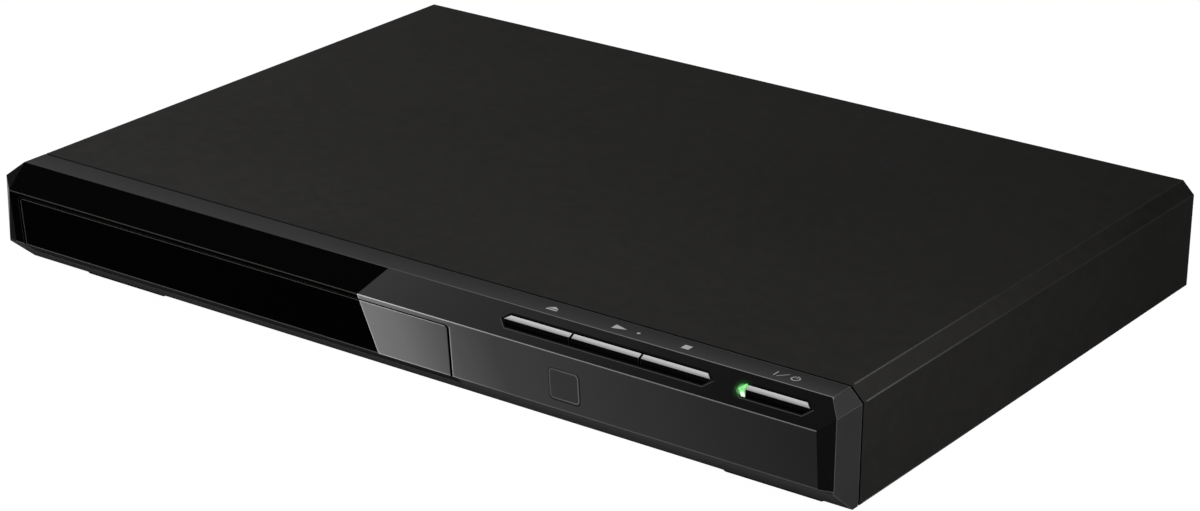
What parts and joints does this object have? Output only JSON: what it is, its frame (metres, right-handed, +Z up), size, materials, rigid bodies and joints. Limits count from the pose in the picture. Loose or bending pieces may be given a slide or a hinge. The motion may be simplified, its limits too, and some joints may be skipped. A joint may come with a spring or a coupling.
{
  "type": "disc player with tray",
  "caption": "Slim black disc player with a bevelled gloss front, a motor-driven tray behind a long door, silver keys and a steel cover.",
  "frame": {"origin": "middle of the footprint, on the surface the feet stand on", "axes": "+X to the right seen from the front, +Y to the back, +Z up"},
  "size_m": [0.32, 0.232, 0.039],
  "materials": {
    "cover_paint": "fine-grained satin",
    "frame_plastic": "fine matte",
    "gloss_black": "high gloss",
    "window": "high gloss, smoked",
    "zinc_steel": "satin zinc",
    "rear_paint": "matte",
    "silver_key": "satin silver paint",
    "light_guide": "clear, lit",
    "rubber": "matte",
    "loader_plastic": "fine matte",
    "natural_plastic": "smooth",
    "light_plastic": "smooth",
    "steel": "ground",
    "board_green": "satin lacquer",
    "board_tan": "satin",
    "chip_black": "matte",
    "winding_tape": "smooth",
    "capacitor_sleeve": "smooth",
    "heat_sink_metal": "satin",
    "nickel": "bright",
    "cable_film": "smooth",
    "lens_glass": "clear",
    "dark_screw": "black zinc",
    "die_cast": "cast",
    "socket_plastic": "smooth"
  },
  "bodies": {
    "casing": {"top_cover": "cover_paint", "bottom_chassis": "zinc_steel", "rear_panel": "rear_paint", "front_panel": "frame_plastic", "front_fascia": "gloss_black", "ir_window": "window", "ir_receiver": "chip_black", "led_lens": "light_guide", "front_board": "board_green", "key_switches": "chip_black", "cover_screws": "dark_screw", "front_feet": "frame_plastic", "rear_feet": "frame_plastic", "foot_pads": "rubber", "loader_frame": "loader_plastic", "rubber_dampers": "rubber", "loader_screws": "zinc_steel", "loading_motor": "steel", "drive_belt": "rubber", "clamp_bridge": "zinc_steel", "loader_board": "board_green", "power_board": "board_tan", "transformer": "winding_tape", "board_capacitors": "capacitor_sleeve", "heat_sink": "heat_sink_metal", "mains_fuse": "lens_glass", "main_board": "board_green", "decoder_chip": "chip_black", "av_socket_block": "socket_plastic", "av_barrels": "nickel", "digital_socket": "nickel", "mains_inlet": "socket_plastic", "flat_cables": "cable_film", "board_screws": "zinc_steel"},
    "tray": {"disc_tray": "loader_plastic", "tray_door": "gloss_black"},
    "drive_wheel": {"drive_gear": "natural_plastic"},
    "pulley_wheel": {"pulley_gear": "natural_plastic"},
    "motor_shaft": {"motor_pulley": "natural_plastic"},
    "cam": {"cam_slider": "natural_plastic"},
    "traverse": {"traverse_deck": "zinc_steel", "spindle_motor": "board_green", "guide_rods": "steel", "sled_motor": "steel"},
    "spindle": {"turntable": "chip_black"},
    "clamp": {"clamp_puck": "light_plastic"},
    "screw": {"lead_screw": "natural_plastic"},
    "sled": {"pickup_body": "die_cast", "pickup_lens": "lens_glass"},
    "eject_button": {"eject_key": "silver_key"},
    "play_button": {"play_key": "silver_key"},
    "stop_button": {"stop_key": "silver_key"},
    "power_button": {"power_key": "silver_key"}
  },
  "joints": [
    {"name": "tray_slide", "type": "slide", "parent": "casing", "child": "tray", "axis": [0, -1, 0], "range_m": [0, 0.132]},
    {"name": "drive_gear_turn", "type": "hinge", "parent": "casing", "child": "drive_wheel", "pos_m": [-0.0157, -0.076, 0.018], "axis": [0, 0, 1], "range_deg": [-506, 0]},
    {"name": "pulley_turn", "type": "hinge", "parent": "casing", "child": "pulley_wheel", "pos_m": [-0.0367, -0.076, 0.018], "axis": [0, 0, 1], "range_deg": [0, 1264]},
    {"name": "motor_turn", "type": "hinge", "parent": "casing", "child": "motor_shaft", "pos_m": [-0.0747, -0.084, 0.015], "axis": [0, 0, 1], "range_deg": [0, 4768]},
    {"name": "cam_slide", "type": "slide", "parent": "casing", "child": "cam", "axis": [1, 0, 0], "range_m": [0, 0.014]},
    {"name": "traverse_tilt", "type": "hinge", "parent": "casing", "child": "traverse", "pos_m": [-0.0627, 0.055, 0.011], "axis": [1, 0, 0], "range_deg": [0, 1.92]},
    {"name": "turntable_spin", "type": "hinge", "parent": "traverse", "child": "spindle", "pos_m": [-0.0627, -0.045, 0.02], "axis": [0, 0, 1], "continuous": true},
    {"name": "clamp_spin", "type": "hinge", "parent": "casing", "child": "clamp", "pos_m": [-0.0627, -0.045, 0.03], "axis": [0, 0, 1], "continuous": true},
    {"name": "sled_slide", "type": "slide", "parent": "traverse", "child": "sled", "axis": [0, 1, 0], "range_m": [0, 0.034]},
    {"name": "lead_screw_turn", "type": "hinge", "parent": "traverse", "child": "screw", "pos_m": [-0.0287, 0, 0.0135], "axis": [0, 1, 0], "range_deg": [0, 3828]},
    {"name": "eject_press", "type": "slide", "parent": "casing", "child": "eject_button", "axis": [0, 0.6977, -0.7163], "range_m": [0, 0.0007], "stiffness_N_per_m": 800, "springref_m": -0.0003},
    {"name": "play_press", "type": "slide", "parent": "casing", "child": "play_button", "axis": [0, 0.6977, -0.7163], "range_m": [0, 0.0007], "stiffness_N_per_m": 800, "springref_m": -0.0003},
    {"name": "stop_press", "type": "slide", "parent": "casing", "child": "stop_button", "axis": [0, 0.6977, -0.7163], "range_m": [0, 0.0007], "stiffness_N_per_m": 800, "springref_m": -0.0003},
    {"name": "power_press", "type": "slide", "parent": "casing", "child": "power_button", "axis": [0, 0.6977, -0.7163], "range_m": [0, 0.0007], "stiffness_N_per_m": 800, "springref_m": -0.0003}
  ],
  "couplings": [
    {"joint": "drive_gear_turn", "follows": "tray_slide", "rad_per_m": -66.667},
    {"joint": "pulley_turn", "follows": "tray_slide", "rad_per_m": 166.67},
    {"joint": "motor_turn", "follows": "tray_slide", "rad_per_m": 629.03},
    {"joint": "traverse_tilt", "follows": "cam_slide", "rad_per_m": 2.3801},
    {"joint": "clamp_spin", "follows": "turntable_spin", "ratio": 1},
    {"joint": "lead_screw_turn", "follows": "sled_slide", "rad_per_m": 1963.5}
  ]
}
